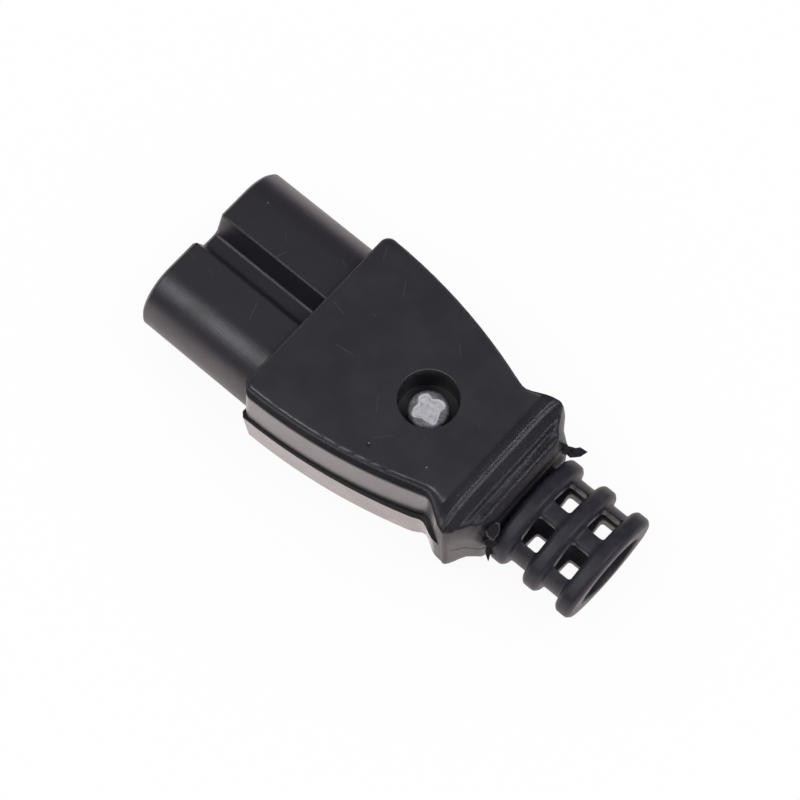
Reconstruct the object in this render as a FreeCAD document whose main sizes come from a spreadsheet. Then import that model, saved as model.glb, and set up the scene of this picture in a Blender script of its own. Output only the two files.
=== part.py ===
import FreeCAD, Part
import math
import operator
import os

import Sketcher
from FreeCAD import Rotation, Vector

# Rewirable figure-eight appliance connector, lying flat with its screw side up.
# Each piece is drawn with x = 0 on the front face of the shells and z = 0 on the seam between them,
# +X towards the mating face; its placement then lifts it onto the table.

doc = FreeCAD.newDocument("figure_eight_connector")
sheet = doc.addObject("Spreadsheet::Sheet", "Sizes")

DRIVING_SIZES = [
    # Nose, as the mating inlet fixes it
    ("pin_spacing", 8.6),
    ("lobe_radius", 3.55),
    ("nose_length", 11.05),
    ("nose_edge", 0.25),
    ("groove_width", 2.96),
    ("groove_floor", 1.3),
    ("groove_depth", 1.9),
    ("groove_round", 0.3),
    ("pin_hole_play", 0.28),
    ("pin_lead_in", 0.35),
    # Part of the nose that the shells hold
    ("collar_side_step", 1.35),
    ("collar_top_step", 0.75),
    ("collar_corner", 1.4),
    ("flange_depth", 2.0),
    ("flange_play", 0.55),
    # Outside of the shells: each run is measured back from the section before it
    ("upper_margin", 1.45),
    ("lower_margin", 0.95),
    ("upper_lean", 0.43),
    ("upper_waist_lean", 0.22),
    ("lower_lean", 0.36),
    ("lower_waist_lean", 0.5),
    ("seam_gap", 0.1),
    ("upper_round", 0.4),
    ("upper_front_corner", 0.8),
    ("lower_round", 0.25),
    ("lower_front_corner", 0.35),
    ("side_radius", 44.6),
    ("grip_run", 2.6),
    ("turn_run", 1.2),
    ("waist_run", 1.0),
    ("turn_round", 0.45),
    ("waist_round", 0.6),
    ("bell_lean", 0.04),
    ("flare_run", 1.3),
    ("flare_spread", 0.7),
    ("flare_rise", 0.2),
    ("upper_flare_round", 1.5),
    ("lower_flare_round", 1.0),
    ("crest_run", 1.0),
    ("crest_spread", 1.35),
    ("crest_rise", 0.5),
    ("upper_crest_round", 3.0),
    ("lower_crest_round", 1.6),
    ("lip_run", 0.3),
    ("lip_spread", 0.1),
    ("upper_lip_drop", 0.55),
    ("lower_lip_drop", 0.05),
    ("cove_run", 0.5),
    ("cove_spread", 1.68),
    ("upper_cove_rise", 0.55),
    ("lower_cove_rise", 1.0),
    ("saddle_run", 0.6),
    ("saddle_spread", 0.8),
    ("saddle_rise", 0.5),
    ("saddle_round", 2.0),
    ("neck_run", 1.2),
    ("neck_side_wall", 1.35),
    ("neck_top_wall", 1.45),
    ("neck_edge", 0.35),
    ("front_overhang", 0.23),
    ("waist_overhang", 0.47),
    ("flare_overhang", 0.35),
    # Inside of the shells
    ("front_wall", 1.6),
    ("side_wall", 1.2),
    ("top_wall", 1.3),
    ("rear_wall", 1.0),
    ("core_lean", 0.3),
    ("stop_rib_play", 0.3),
    ("stop_rib_depth", 0.9),
    ("stop_rib_gap", 2.6),
    ("boss_wall", 0.64),
    ("boss_play", 0.2),
    # Housing screw, driven from the top into the lower shell
    ("recess_play", 0.78),
    ("head_sink", 2.0),
    ("head_radius", 1.58),
    ("head_height", 1.1),
    ("head_dome", 0.35),
    ("cross_width", 0.45),
    ("cross_length", 2.0),
    ("cross_depth", 0.6),
    ("cross_turn", 15.0),
    ("shank_radius", 0.95),
    ("screw_reach", 2.9),
    # Contacts and their terminals
    ("pin_bore_radius", 1.22),
    ("sleeve_wall", 0.53),
    ("sleeve_setback", 1.6),
    ("pin_depth", 10.5),
    ("slit_width", 0.5),
    ("slit_length", 7.0),
    ("terminal_step", 0.25),
    ("terminal_length", 4.4),
    ("terminal_play", 0.35),
    ("flat_depth", 0.5),
    ("wire_hole_radius", 0.85),
    ("wire_hole_depth", 3.6),
    ("clamp_offset", 2.1),
    ("clamp_head_radius", 1.4),
    ("clamp_head_height", 1.2),
    ("clamp_shank_radius", 0.85),
    ("clamp_slot_width", 0.45),
    ("clamp_slot_depth", 0.5),
    # Strain relief boot, sized from the cord that it guides
    ("cord_width", 6.3),
    ("cord_height", 2.5),
    ("cord_crown", 0.35),
    ("mouth_side_play", 0.05),
    ("mouth_top_play", 0.55),
    ("mouth_crown", 1.35),
    ("boot_crown", 0.75),
    ("stem_side_wall", 0.35),
    ("stem_top_wall", 0.5),
    ("tube_side_wall", 0.85),
    ("tube_top_wall", 0.75),
    ("ring_side_step", 0.8),
    ("ring_top_step", 0.35),
    ("ring_edge", 0.3),
    ("ring_thickness", 1.5),
    ("ring_gap", 1.64),
    ("window_side_web", 1.08),
    ("bar_width", 1.44),
    ("boot_gap", 0.27),
    ("anchor_wall", 0.9),
    ("anchor_thickness", 1.4),
    ("anchor_side_step", 0.7),
    ("anchor_top_step", 0.85),
    # Clearances, per side
    ("fit", 0.08),
    ("thread_fit", 0.03),
]


class Size:
    """A number together with the sheet expression that it comes from."""

    def __init__(self, text, number):
        self.text = text
        self.number = number

    def __add__(self, other):
        return combine(self, "+", other)

    def __radd__(self, other):
        return combine(other, "+", self)

    def __sub__(self, other):
        return combine(self, "-", other)

    def __rsub__(self, other):
        return combine(other, "-", self)

    def __mul__(self, other):
        return combine(self, "*", other)

    def __rmul__(self, other):
        return combine(other, "*", self)

    def __truediv__(self, other):
        return combine(self, "/", other)

    def __neg__(self):
        return combine(0, "-", self)


ARITHMETIC = {"+": operator.add, "-": operator.sub, "*": operator.mul, "/": operator.truediv}


def as_size(value):
    return value if isinstance(value, Size) else Size(str(value), float(value))


def combine(left, sign, right):
    left = as_size(left)
    right = as_size(right)
    return Size(f"({left.text} {sign} {right.text})", ARITHMETIC[sign](left.number, right.number))


class SizeTable:
    """The driving sizes as attributes, each bound to its cell of the sheet."""

    def __init__(self, rows):
        for index, (alias, value) in enumerate(rows, start=1):
            sheet.set(f"A{index}", alias)
            sheet.set(f"B{index}", str(value))
            sheet.setAlias(f"B{index}", alias)
            setattr(self, alias, Size(f"Sizes.{alias}", value))


dims = SizeTable(DRIVING_SIZES)
doc.recompute()


def slope(run, rise):
    """Angle from upright, in degrees, of a side that moves by a run over a rise."""
    angle = math.degrees(math.atan2(run.number, rise.number))
    return Size(f"atan({run.text} / {rise.text})", angle)


def bind(item, path, size):
    item.setExpression(path, as_size(size).text)


def origin_feature(body, role):
    return next(item for item in body.Origin.OriginFeatures if item.Role == role)


def new_body(label, x=0, y=0, turn=Rotation()):
    """A body placed in the part's frame: origin under the middle of the connector, on the table."""
    body = doc.addObject("PartDesign::Body", label)
    body.Label = label
    body.Placement.Rotation = turn
    bind(body, "Placement.Base.x", (boot_reach - dims.nose_length) / 2 + x)
    bind(body, "Placement.Base.y", as_size(y))
    bind(body, "Placement.Base.z", lower_height)
    return body


def new_sketch(body, name, role="YZ_Plane", offset=0):
    sketch = body.newObject("Sketcher::SketchObject", name)
    sketch.AttachmentSupport = (origin_feature(body, role), [""])
    sketch.MapMode = "FlatFace"
    bind(sketch, "AttachmentOffset.Base.z", offset)
    return sketch


def relate(sketch, *rules):
    for rule in rules:
        sketch.addConstraint(Sketcher.Constraint(*rule))


def dimension(sketch, name, size, kind, *where):
    size = as_size(size)
    number = math.radians(size.number) if kind == "Angle" else size.number
    index = sketch.addConstraint(Sketcher.Constraint(kind, *where, number))
    sketch.renameConstraint(index, name)
    bind(sketch, f"Constraints.{name}", size)


NEAR = 0.01
QUARTER = math.pi / 2
SKETCH_AXES = ("none", "x", "y")


def axis(name):
    """Number by which a sketch knows one of its own axes."""
    return -SKETCH_AXES.index(name)


ORIGIN = (axis("x"), 1)


def line(start, end):
    return Part.LineSegment(Vector(*start, 0), Vector(*end, 0))


def arc(centre, radius, start, end):
    return Part.ArcOfCircle(Part.Circle(Vector(*centre, 0), Vector(0, 0, 1), radius), start, end)


def draw_half_section(sketch, width, lean, height, corner, base):
    """Arch over the seam: straight foot, sides that lean in as they rise, rounded shoulders."""
    half = width.number / 2
    top = height.number
    radius = corner.number
    foot = base.number
    tip = half - lean.number
    angle = math.atan2(lean.number, top - foot)
    centre_x = tip - radius * math.tan(QUARTER / 2 - angle / 2)
    centre_y = top - radius
    side_x = centre_x + radius * math.cos(angle)
    side_y = centre_y + radius * math.sin(angle)
    sketch.addGeometry([
        line((-half, foot), (half, foot)),
        line((half, foot), (side_x, side_y)),
        arc((centre_x, centre_y), radius, angle, QUARTER),
        line((centre_x, top), (-centre_x, top)),
        arc((-centre_x, centre_y), radius, QUARTER, math.pi - angle),
        line((-half, foot), (-side_x, side_y)),
    ])
    sketch.addGeometry(Part.Point(Vector(tip, top, 0)), True)
    relate(
        sketch,
        ("Coincident", 0, 2, 1, 1),
        ("Tangent", 1, 2, 2, 1),
        ("Tangent", 2, 2, 3, 1),
        ("Tangent", 3, 2, 4, 1),
        ("Tangent", 4, 2, 5, 2),
        ("Coincident", 5, 1, 0, 1),
        ("Symmetric", 0, 1, 0, 2, axis("y")),
        ("Symmetric", 3, 1, 3, 2, axis("y")),
        ("Equal", 2, 4),
        ("PointOnObject", 6, 1, 1),
        ("PointOnObject", 6, 1, 3),
    )
    dimension(sketch, "width", width, "DistanceX", 0, 1, 0, 2)
    dimension(sketch, "lean", lean, "DistanceX", 6, 1, 0, 2)
    dimension(sketch, "foot", base, "DistanceY", *ORIGIN, 0, 1)
    dimension(sketch, "height", height, "DistanceY", *ORIGIN, 3, 1)
    dimension(sketch, "corner", corner, "Radius", 2)


def draw_plan(sketch, front, waist, length):
    """Grip seen from above: its sides are arcs that start square to the front."""
    drop = (front - waist) / 2
    radius = (waist_station * waist_station + drop * drop) / (2 * drop)
    side = radius.number
    back = length.number
    front_y = front.number / 2
    centre_y = front_y - side
    turn = QUARTER + math.asin(back / side)
    rear_y = centre_y + side * math.sin(turn)
    sketch.addGeometry([
        line((0, -front_y), (0, front_y)),
        arc((0, centre_y), side, QUARTER, turn),
        line((-back, rear_y), (-back, -rear_y)),
        arc((0, -centre_y), side, -turn, -QUARTER),
    ])
    for edge in range(4):
        relate(sketch, ("Coincident", edge, 2, (edge + 1) % 4, 1))
    relate(
        sketch,
        ("PointOnObject", 0, 1, axis("y")),
        ("Symmetric", 0, 1, 0, 2, axis("x")),
        ("Vertical", 2),
        ("PointOnObject", 1, 3, axis("y")),
        ("Symmetric", 1, 3, 3, 3, *ORIGIN),
    )
    dimension(sketch, "front", front, "DistanceY", 0, 1, 0, 2)
    dimension(sketch, "side_radius", radius, "Radius", 1)
    dimension(sketch, "length", length, "DistanceX", 2, 1, *ORIGIN)


def draw_oval(sketch, width, height, crown_rise):
    """Flat oval of four tangent arcs, tight at the ends and gently crowned above and below."""
    end_radius = height / 2 - crown_rise
    reach = width / 2 - end_radius
    rise = height / 2
    crown = (reach * reach + rise * rise - end_radius * end_radius) / (2 * (rise - end_radius))
    drop = crown - rise
    join = math.atan2(drop.number, reach.number)
    sketch.addGeometry([
        arc((reach.number, 0), end_radius.number, -join, join),
        arc((0, -drop.number), crown.number, join, math.pi - join),
        arc((-reach.number, 0), end_radius.number, math.pi - join, math.pi + join),
        arc((0, drop.number), crown.number, math.pi + join, 2 * math.pi - join),
    ])
    relate(
        sketch,
        ("PointOnObject", 0, 3, axis("x")),
        ("PointOnObject", 1, 3, axis("y")),
        ("PointOnObject", 2, 3, axis("x")),
        ("Tangent", 0, 2, 1, 1),
        ("Tangent", 1, 2, 2, 1),
        ("Coincident", 2, 2, 3, 1),
        ("Coincident", 3, 2, 0, 1),
        ("Horizontal", 1, 1, 1, 2),
        ("Vertical", 0, 1, 0, 2),
        ("Vertical", 2, 1, 2, 2),
        ("Equal", 1, 3),
    )
    dimension(sketch, "reach", reach, "DistanceX", *ORIGIN, 0, 3)
    dimension(sketch, "end_radius", end_radius, "Radius", 0)
    dimension(sketch, "crown", crown, "Radius", 1)


def draw_slot(sketch, spacing, radius):
    """Two equal circles joined by their common tangents."""
    reach = spacing.number / 2
    size = radius.number
    sketch.addGeometry([
        arc((reach, 0), size, -QUARTER, QUARTER),
        line((reach, size), (-reach, size)),
        arc((-reach, 0), size, QUARTER, 3 * QUARTER),
        line((-reach, -size), (reach, -size)),
    ])
    relate(
        sketch,
        ("Tangent", 0, 2, 1, 1),
        ("Tangent", 1, 2, 2, 1),
        ("Tangent", 2, 2, 3, 1),
        ("Tangent", 3, 2, 0, 1),
        ("Equal", 0, 2),
        ("PointOnObject", 0, 3, axis("x")),
        ("Symmetric", 0, 3, 2, 3, *ORIGIN),
    )
    dimension(sketch, "spacing", spacing, "DistanceX", 2, 3, 0, 3)
    dimension(sketch, "radius", radius, "Radius", 0)


def draw_rounded_rectangle(sketch, width, low, high, corner):
    """Rectangle that reaches low below the seam and high above it."""
    half = width.number / 2
    bottom = -low.number
    top = high.number
    radius = corner.number
    inner_x = half - radius
    inner_low = bottom + radius
    inner_high = top - radius
    sketch.addGeometry([
        line((half, inner_low), (half, inner_high)),
        arc((inner_x, inner_high), radius, 0, QUARTER),
        line((inner_x, top), (-inner_x, top)),
        arc((-inner_x, inner_high), radius, QUARTER, 2 * QUARTER),
        line((-half, inner_high), (-half, inner_low)),
        arc((-inner_x, inner_low), radius, 2 * QUARTER, 3 * QUARTER),
        line((-inner_x, bottom), (inner_x, bottom)),
        arc((inner_x, inner_low), radius, 3 * QUARTER, 4 * QUARTER),
    ])
    for edge in range(8):
        relate(sketch, ("Tangent", edge, 2, (edge + 1) % 8, 1))
    relate(
        sketch,
        ("Vertical", 0),
        ("Symmetric", 2, 1, 2, 2, axis("y")),
        ("Vertical", 4),
        ("Horizontal", 6),
        ("Equal", 1, 3),
        ("Equal", 1, 5),
        ("Equal", 1, 7),
    )
    dimension(sketch, "width", width, "DistanceX", 4, 1, 0, 1)
    dimension(sketch, "low", low, "DistanceY", 6, 1, *ORIGIN)
    dimension(sketch, "high", high, "DistanceY", *ORIGIN, 2, 1)
    dimension(sketch, "corner", corner, "Radius", 1)


def draw_trapezium(sketch, low_width, high_width, low, high):
    """Straight-sided section between two heights, the same on both sides of the middle."""
    half_low = low_width.number / 2
    half_high = high_width.number / 2
    corners = [
        (-half_low, low.number),
        (half_low, low.number),
        (half_high, high.number),
        (-half_high, high.number),
    ]
    for start, end in zip(corners, corners[1:] + corners[:1]):
        sketch.addGeometry(line(start, end))
    for edge in range(4):
        relate(sketch, ("Coincident", edge, 2, (edge + 1) % 4, 1))
    relate(sketch, ("Symmetric", 0, 1, 0, 2, axis("y")), ("Symmetric", 2, 2, 2, 1, axis("y")))
    dimension(sketch, "low_width", low_width, "DistanceX", 0, 1, 0, 2)
    dimension(sketch, "high_width", high_width, "DistanceX", 2, 2, 2, 1)
    dimension(sketch, "low", low, "DistanceY", *ORIGIN, 0, 1)
    dimension(sketch, "high", high, "DistanceY", *ORIGIN, 2, 1)


def draw_circle(sketch, radius, x=0, y=0):
    x = as_size(x)
    y = as_size(y)
    index = sketch.addGeometry(Part.Circle(Vector(x.number, y.number, 0), Vector(0, 0, 1), radius.number))
    dimension(sketch, f"radius_{index}", radius, "Radius", index)
    if x.number == 0:
        relate(sketch, ("PointOnObject", index, 3, axis("y")))
    else:
        dimension(sketch, f"across_{index}", x, "DistanceX", *ORIGIN, index, 3)
    if y.number == 0:
        relate(sketch, ("PointOnObject", index, 3, axis("x")))
    else:
        dimension(sketch, f"up_{index}", y, "DistanceY", *ORIGIN, index, 3)


def draw_box(sketch, x, y, width, height):
    """Rectangle from its lower left corner."""
    x, y, width, height = (as_size(value) for value in (x, y, width, height))
    left = x.number
    low = y.number
    right = left + width.number
    high = low + height.number
    first = sketch.GeometryCount
    corners = [(left, low), (right, low), (right, high), (left, high)]
    for start, end in zip(corners, corners[1:] + corners[:1]):
        sketch.addGeometry(line(start, end))
    for edge in range(4):
        relate(sketch, ("Coincident", first + edge, 2, first + (edge + 1) % 4, 1))
    relate(
        sketch,
        ("Horizontal", first),
        ("Vertical", first + 1),
        ("Horizontal", first + 2),
        ("Vertical", first + 3),
    )
    dimension(sketch, f"left_{first}", x, "DistanceX", *ORIGIN, first, 1)
    dimension(sketch, f"low_{first}", y, "DistanceY", *ORIGIN, first, 1)
    dimension(sketch, f"width_{first}", width, "DistanceX", first, 1, first, 2)
    dimension(sketch, f"height_{first}", height, "DistanceY", first + 1, 1, first + 1, 2)


def extrude(body, kind, name, sketch, length, flipped=False):
    feature = body.newObject(f"PartDesign::{kind}", name)
    feature.Profile = sketch
    feature.Reversed = flipped
    bind(feature, "Length", length)
    return feature


def pad(body, name, sketch, length, flipped=False):
    return extrude(body, "Pad", name, sketch, length, flipped)


def pocket(body, name, sketch, length, flipped=False):
    before = settled_volume(body)
    feature = extrude(body, "Pocket", name, sketch, length, flipped)
    if settled_volume(body) >= before:
        raise RuntimeError(f"{name} cuts nothing from {body.Label}")
    return feature


def settled_volume(body):
    doc.recompute()
    return body.Shape.Volume


def loft(body, kind, name, sections):
    """Ruled loft that starts from a sketch, or from a face given with its feature."""
    feature = body.newObject(f"PartDesign::{kind}", name)
    feature.Profile = sections[0]
    feature.Sections = sections[1:]
    feature.Ruled = True
    return feature


def lean_sides(body, name, angle, neutral, chosen):
    """Draft on every face of the body that the test picks, unchanged on the neutral plane."""
    doc.recompute()
    base = body.Tip
    faces = [f"Face{index}" for index, face in enumerate(base.Shape.Faces, start=1) if chosen(face)]
    feature = body.newObject("PartDesign::Draft", name)
    feature.Base = (base, faces)
    feature.NeutralPlane = neutral
    bind(feature, "Angle", angle)
    return feature


def smooth_run(stops, before, after, steps):
    """Rows of sizes on a smooth curve through the stops, which two more rows lead into and out of."""
    rows = [before, *stops, after]
    run = []
    for first, stop in enumerate(stops[:-1]):
        run.append(stop)
        for step in range(1, steps):
            share = step / steps
            square = share * share
            cube = square * share
            weights = [
                square - (share + cube) / 2,
                1 + (3 * cube - 5 * square) / 2,
                (share + 4 * square - 3 * cube) / 2,
                (cube - square) / 2,
            ]
            run.append(mixed(rows[first:first + len(weights)], weights))
    run.append(stops[-1])
    return run


def mixed(rows, weights):
    """Rows of sizes added up column by column, each in its own share."""
    return [sum(weight * size for weight, size in zip(weights, column)) for column in zip(*rows)]


def face_across(body, station):
    """The body's flat face square to X at a distance behind the front, as a profile."""
    doc.recompute()
    for index, face in enumerate(body.Tip.Shape.Faces, start=1):
        if spans(face, "X", -station.number, -station.number):
            return body.Tip, [f"Face{index}"]
    raise RuntimeError(f"{body.Label} has no face at {station.text}")


def round_edges(body, name, size, chosen, kind="Fillet"):
    """Fillet or chamfer on every edge of the body that the test picks."""
    doc.recompute()
    base = body.Tip
    edges = [f"Edge{index}" for index, edge in enumerate(base.Shape.Edges, start=1) if chosen(edge)]
    feature = body.newObject(f"PartDesign::{kind}", name)
    feature.Base = (base, edges)
    bind(feature, "Radius" if kind == "Fillet" else "Size", size)
    return feature


def spans(shape, axis, low, high, slack=1e-4):
    """Whether an edge or face lies between two distances along an axis."""
    box = shape.BoundBox
    return getattr(box, f"{axis}Min") > low - slack and getattr(box, f"{axis}Max") < high + slack


# Nose and the part of it behind the front face
nose_width = dims.pin_spacing + 2 * dims.lobe_radius
collar_width = nose_width - 2 * dims.collar_side_step
collar_rise = dims.lobe_radius - dims.collar_top_step
pin_hole_radius = dims.pin_bore_radius + dims.pin_hole_play
carrier_reach = dims.front_wall + dims.flange_depth

# Contacts
sleeve_radius = dims.pin_bore_radius + dims.sleeve_wall
sleeve_reach = dims.nose_length - dims.sleeve_setback
terminal_radius = sleeve_radius + dims.terminal_step
terminal_flat = terminal_radius - dims.flat_depth
terminal_reach = carrier_reach + dims.terminal_length

# Boot
stem_width = dims.cord_width + 2 * dims.stem_side_wall
stem_height = dims.cord_height + 2 * dims.stem_top_wall
mouth_width = dims.cord_width + 2 * dims.mouth_side_play
mouth_height = dims.cord_height + 2 * dims.mouth_top_play
tube_width = mouth_width + 2 * dims.tube_side_wall
tube_height = mouth_height + 2 * dims.tube_top_wall
ring_width = tube_width + 2 * dims.ring_side_step
ring_height = tube_height + 2 * dims.ring_top_step
anchor_width = stem_width + 2 * dims.anchor_side_step
anchor_height = stem_height + 2 * dims.anchor_top_step
ring_pitch = dims.ring_thickness + dims.ring_gap
window_width = (tube_width - dims.bar_width) / 2 - dims.window_side_web

# Shell sections: height over the seam, distance behind the front face and width
upper_height = dims.lobe_radius + dims.upper_margin
lower_height = dims.lobe_radius + dims.lower_margin
neck_height = stem_height / 2 + dims.neck_top_wall
recess_radius = dims.head_radius + dims.recess_play
boss_radius = recess_radius + dims.boss_wall
screw_seat = upper_height - dims.head_sink - dims.head_height
screw_station = terminal_reach + dims.boss_play + boss_radius
grip_station = screw_station + dims.grip_run
turn_station = grip_station + dims.turn_run
waist_station = turn_station + dims.waist_run
flare_station = waist_station + dims.flare_run
crest_station = flare_station + dims.crest_run
lip_station = crest_station + dims.lip_run
cove_station = lip_station + dims.cove_run
saddle_station = cove_station + dims.saddle_run
neck_station = saddle_station + dims.neck_run
cavity_station = waist_station - dims.rear_wall
anchor_station = cavity_station + dims.anchor_wall
ring_station = neck_station + dims.boot_gap
boot_reach = ring_station + 2 * ring_pitch + dims.ring_thickness
terminal_width = dims.pin_spacing + 2 * (terminal_radius + dims.terminal_play + dims.side_wall)


def narrowing(station):
    """How much narrower the body is than its front: each side is an arc that starts square to the front."""
    return station * station / dims.side_radius


front_width = terminal_width + narrowing(terminal_reach)
waist_width = front_width - narrowing(waist_station)
flare_width = waist_width + 2 * dims.flare_spread
crest_width = waist_width + 2 * dims.crest_spread
lip_width = crest_width + 2 * dims.lip_spread
neck_width = stem_width + 2 * dims.neck_side_wall
saddle_width = neck_width + 2 * dims.saddle_spread
cove_width = neck_width + 2 * dims.cove_spread
flange_width = front_width - 2 * (dims.side_wall + dims.flange_play)


def make_half_shell(label, height, leans, rounds, edging, overhang, rises, crisp, turn=Rotation()):
    """Outside of one shell half with its cavity, nose opening and boot seat."""
    body = new_body(label, turn=turn)
    rim = dims.seam_gap / 2
    lean, waist_lean = leans
    top_round, front_corner, flare_round, crest_round = rounds
    front_overhang, waist_overhang, flare_overhang = overhang
    flare_rise, crest_rise, lip_drop, cove_rise = rises
    crest_height = height + crest_rise
    front_seam = front_width + 2 * front_overhang
    waist_seam = waist_width + 2 * waist_overhang

    plan = new_sketch(body, f"{label}_plan", role="XY_Plane", offset=rim)
    draw_plan(plan, front_seam, waist_seam, grip_station)
    pad(body, f"{label}_grip", plan, height - rim)

    def on_side(face):
        return face.BoundBox.XLength > NEAR and face.BoundBox.ZLength > NEAR

    def at_front_corner(edge):
        return spans(edge, "X", 0, 0) and edge.BoundBox.ZLength > NEAR

    def on_top_rim(edge):
        ahead = edge.BoundBox.XMax > NEAR - grip_station.number
        return ahead and spans(edge, "Z", height.number, height.number)

    lean_sides(body, f"{label}_lean", slope(lean, height - rim), plan, on_side)
    round_edges(body, f"{label}_front_corners", front_corner, at_front_corner, edging)
    round_edges(body, f"{label}_top_round", top_round, on_top_rim, edging)

    def grip_row(station, corner):
        share = station / waist_station
        return station, front_seam - (front_seam - waist_seam) * share * share, lean, height, corner

    def bell_row(station, width, top, corner):
        return station, width, dims.bell_lean, top, corner

    def draw_sections(name, rows):
        sketches = []
        for index, (station, width, slant, top, corner) in enumerate(rows):
            sketch = new_sketch(body, f"{label}_{name}_{index}", offset=-station)
            draw_half_section(sketch, width, slant, top, corner, rim)
            sketches.append(sketch)
        return sketches

    flare_lean = (waist_lean + dims.bell_lean) / 2
    flare_seam = flare_width + 2 * flare_overhang
    flare = flare_station, flare_seam, flare_lean, height + flare_rise, flare_round
    crest = bell_row(crest_station, crest_width, crest_height, crest_round)
    lip = bell_row(lip_station, lip_width, crest_height - lip_drop, crest_round)
    saddle = bell_row(saddle_station, saddle_width, neck_height + dims.saddle_rise, dims.saddle_round)
    neck = bell_row(neck_station, neck_width, neck_height, dims.saddle_round)
    throat = smooth_run(
        [
            grip_row(grip_station, top_round),
            grip_row(turn_station, dims.turn_round),
            (waist_station, waist_seam, waist_lean, height, dims.waist_round),
            flare,
            crest,
        ],
        before=grip_row(grip_station - dims.turn_run, top_round),
        after=mixed([crest, flare], (2, -1)) if crisp else lip,
        steps=3,
    )
    bell = smooth_run(
        [
            crest,
            lip,
            bell_row(cove_station, cove_width, neck_height + cove_rise, dims.saddle_round),
            saddle,
            neck,
        ],
        before=mixed([crest, lip], (2, -1)) if crisp else flare,
        after=mixed([neck, saddle], (2, -1)),
        steps=2,
    )
    grip_end = face_across(body, grip_station)
    throat_sections = draw_sections("throat", throat[1:])
    bell_sections = draw_sections("bell", bell[1:])
    loft(body, "AdditiveLoft", f"{label}_throat", [grip_end, *throat_sections])
    loft(body, "AdditiveLoft", f"{label}_bell", [throat_sections[-1], *bell_sections])

    def at_neck_rim(edge):
        rear = -neck_station.number
        return spans(edge, "X", rear, rear) and edge.BoundBox.ZMax > rim.number + NEAR

    round_edges(body, f"{label}_neck_edge", dims.neck_edge, at_neck_rim, kind="Chamfer")

    def hollow(name, station):
        sketch = new_sketch(body, f"{label}_{name}", offset=-station)
        inside = front_width - narrowing(station) - 2 * dims.side_wall
        draw_trapezium(sketch, inside, inside - 2 * dims.core_lean, rim / 2, height - dims.top_wall)
        return sketch

    cavity = [
        hollow("cavity_front", dims.front_wall),
        hollow("cavity_terminal", terminal_reach),
        hollow("cavity_screw", screw_station),
        hollow("cavity_rear", cavity_station),
    ]
    loft(body, "SubtractiveLoft", f"{label}_cavity", cavity)

    opening = new_sketch(body, f"{label}_nose_opening")
    opening_rise = collar_rise + dims.fit
    opening_width = collar_width + 2 * dims.fit
    draw_rounded_rectangle(opening, opening_width, opening_rise, opening_rise, dims.collar_corner)
    pocket(body, f"{label}_nose_seat", opening, dims.front_wall + 2 * dims.fit)

    channel = new_sketch(body, f"{label}_cord_channel", offset=-cavity_station)
    draw_oval(channel, stem_width + 2 * dims.fit, stem_height + 2 * dims.fit, dims.boot_crown)
    pocket(body, f"{label}_boot_channel", channel, neck_station - cavity_station)

    seat = new_sketch(body, f"{label}_anchor_outline", offset=dims.fit - anchor_station)
    draw_oval(seat, anchor_width + 2 * dims.fit, anchor_height + 2 * dims.fit, dims.boot_crown)
    pocket(body, f"{label}_anchor_seat", seat, dims.anchor_thickness + 2 * dims.fit)

    rib = new_sketch(body, f"{label}_stop_rib_outline", role="XY_Plane", offset=dims.stop_rib_gap / 2)
    rib_width = front_width - narrowing(screw_station) - 2 * dims.side_wall
    rib_back = terminal_reach + dims.stop_rib_play + dims.stop_rib_depth
    draw_box(rib, -rib_back, -rib_width / 2, dims.stop_rib_depth, rib_width)
    pad(body, f"{label}_stop_rib", rib, height - (dims.top_wall + dims.stop_rib_gap) / 2)

    boss = new_sketch(body, f"{label}_boss_outline", role="XY_Plane")
    draw_circle(boss, boss_radius, x=-screw_station)
    pad(body, f"{label}_boss", boss, height - dims.top_wall / 2)
    return body


def make_upper_shell():
    body = make_half_shell(
        "upper_shell", upper_height,
        leans=(dims.upper_lean, dims.upper_waist_lean),
        rounds=(dims.upper_round, dims.upper_front_corner, dims.upper_flare_round, dims.upper_crest_round),
        edging="Fillet",
        overhang=(0, 0, 0),
        rises=(dims.flare_rise, dims.crest_rise, dims.upper_lip_drop, dims.upper_cove_rise),
        crisp=True,
    )
    recess = new_sketch(body, "recess_outline", role="XY_Plane", offset=screw_seat)
    draw_circle(recess, recess_radius, x=-screw_station)
    pocket(body, "screw_recess", recess, upper_height, flipped=True)
    hole = new_sketch(body, "screw_hole_outline", role="XY_Plane")
    draw_circle(hole, dims.shank_radius + dims.fit, x=-screw_station)
    pocket(body, "screw_hole", hole, upper_height, flipped=True)
    return body


def make_lower_shell():
    """The lower half, upside down: flat underneath and a little wider than the upper one at the seam."""
    body = make_half_shell(
        "lower_shell", lower_height,
        leans=(dims.lower_lean, dims.lower_waist_lean),
        rounds=(dims.lower_round, dims.lower_front_corner, dims.lower_flare_round, dims.lower_crest_round),
        edging="Chamfer",
        overhang=(dims.front_overhang, dims.waist_overhang, dims.flare_overhang),
        rises=(0, 0, dims.lower_lip_drop, dims.lower_cove_rise),
        crisp=False,
        turn=Rotation(Vector(1, 0, 0), 180),
    )
    hole = new_sketch(body, "pilot_outline", role="XY_Plane")
    draw_circle(hole, dims.shank_radius + dims.thread_fit, x=-screw_station)
    pocket(body, "pilot_hole", hole, dims.screw_reach + dims.fit, flipped=True)
    return body


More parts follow.
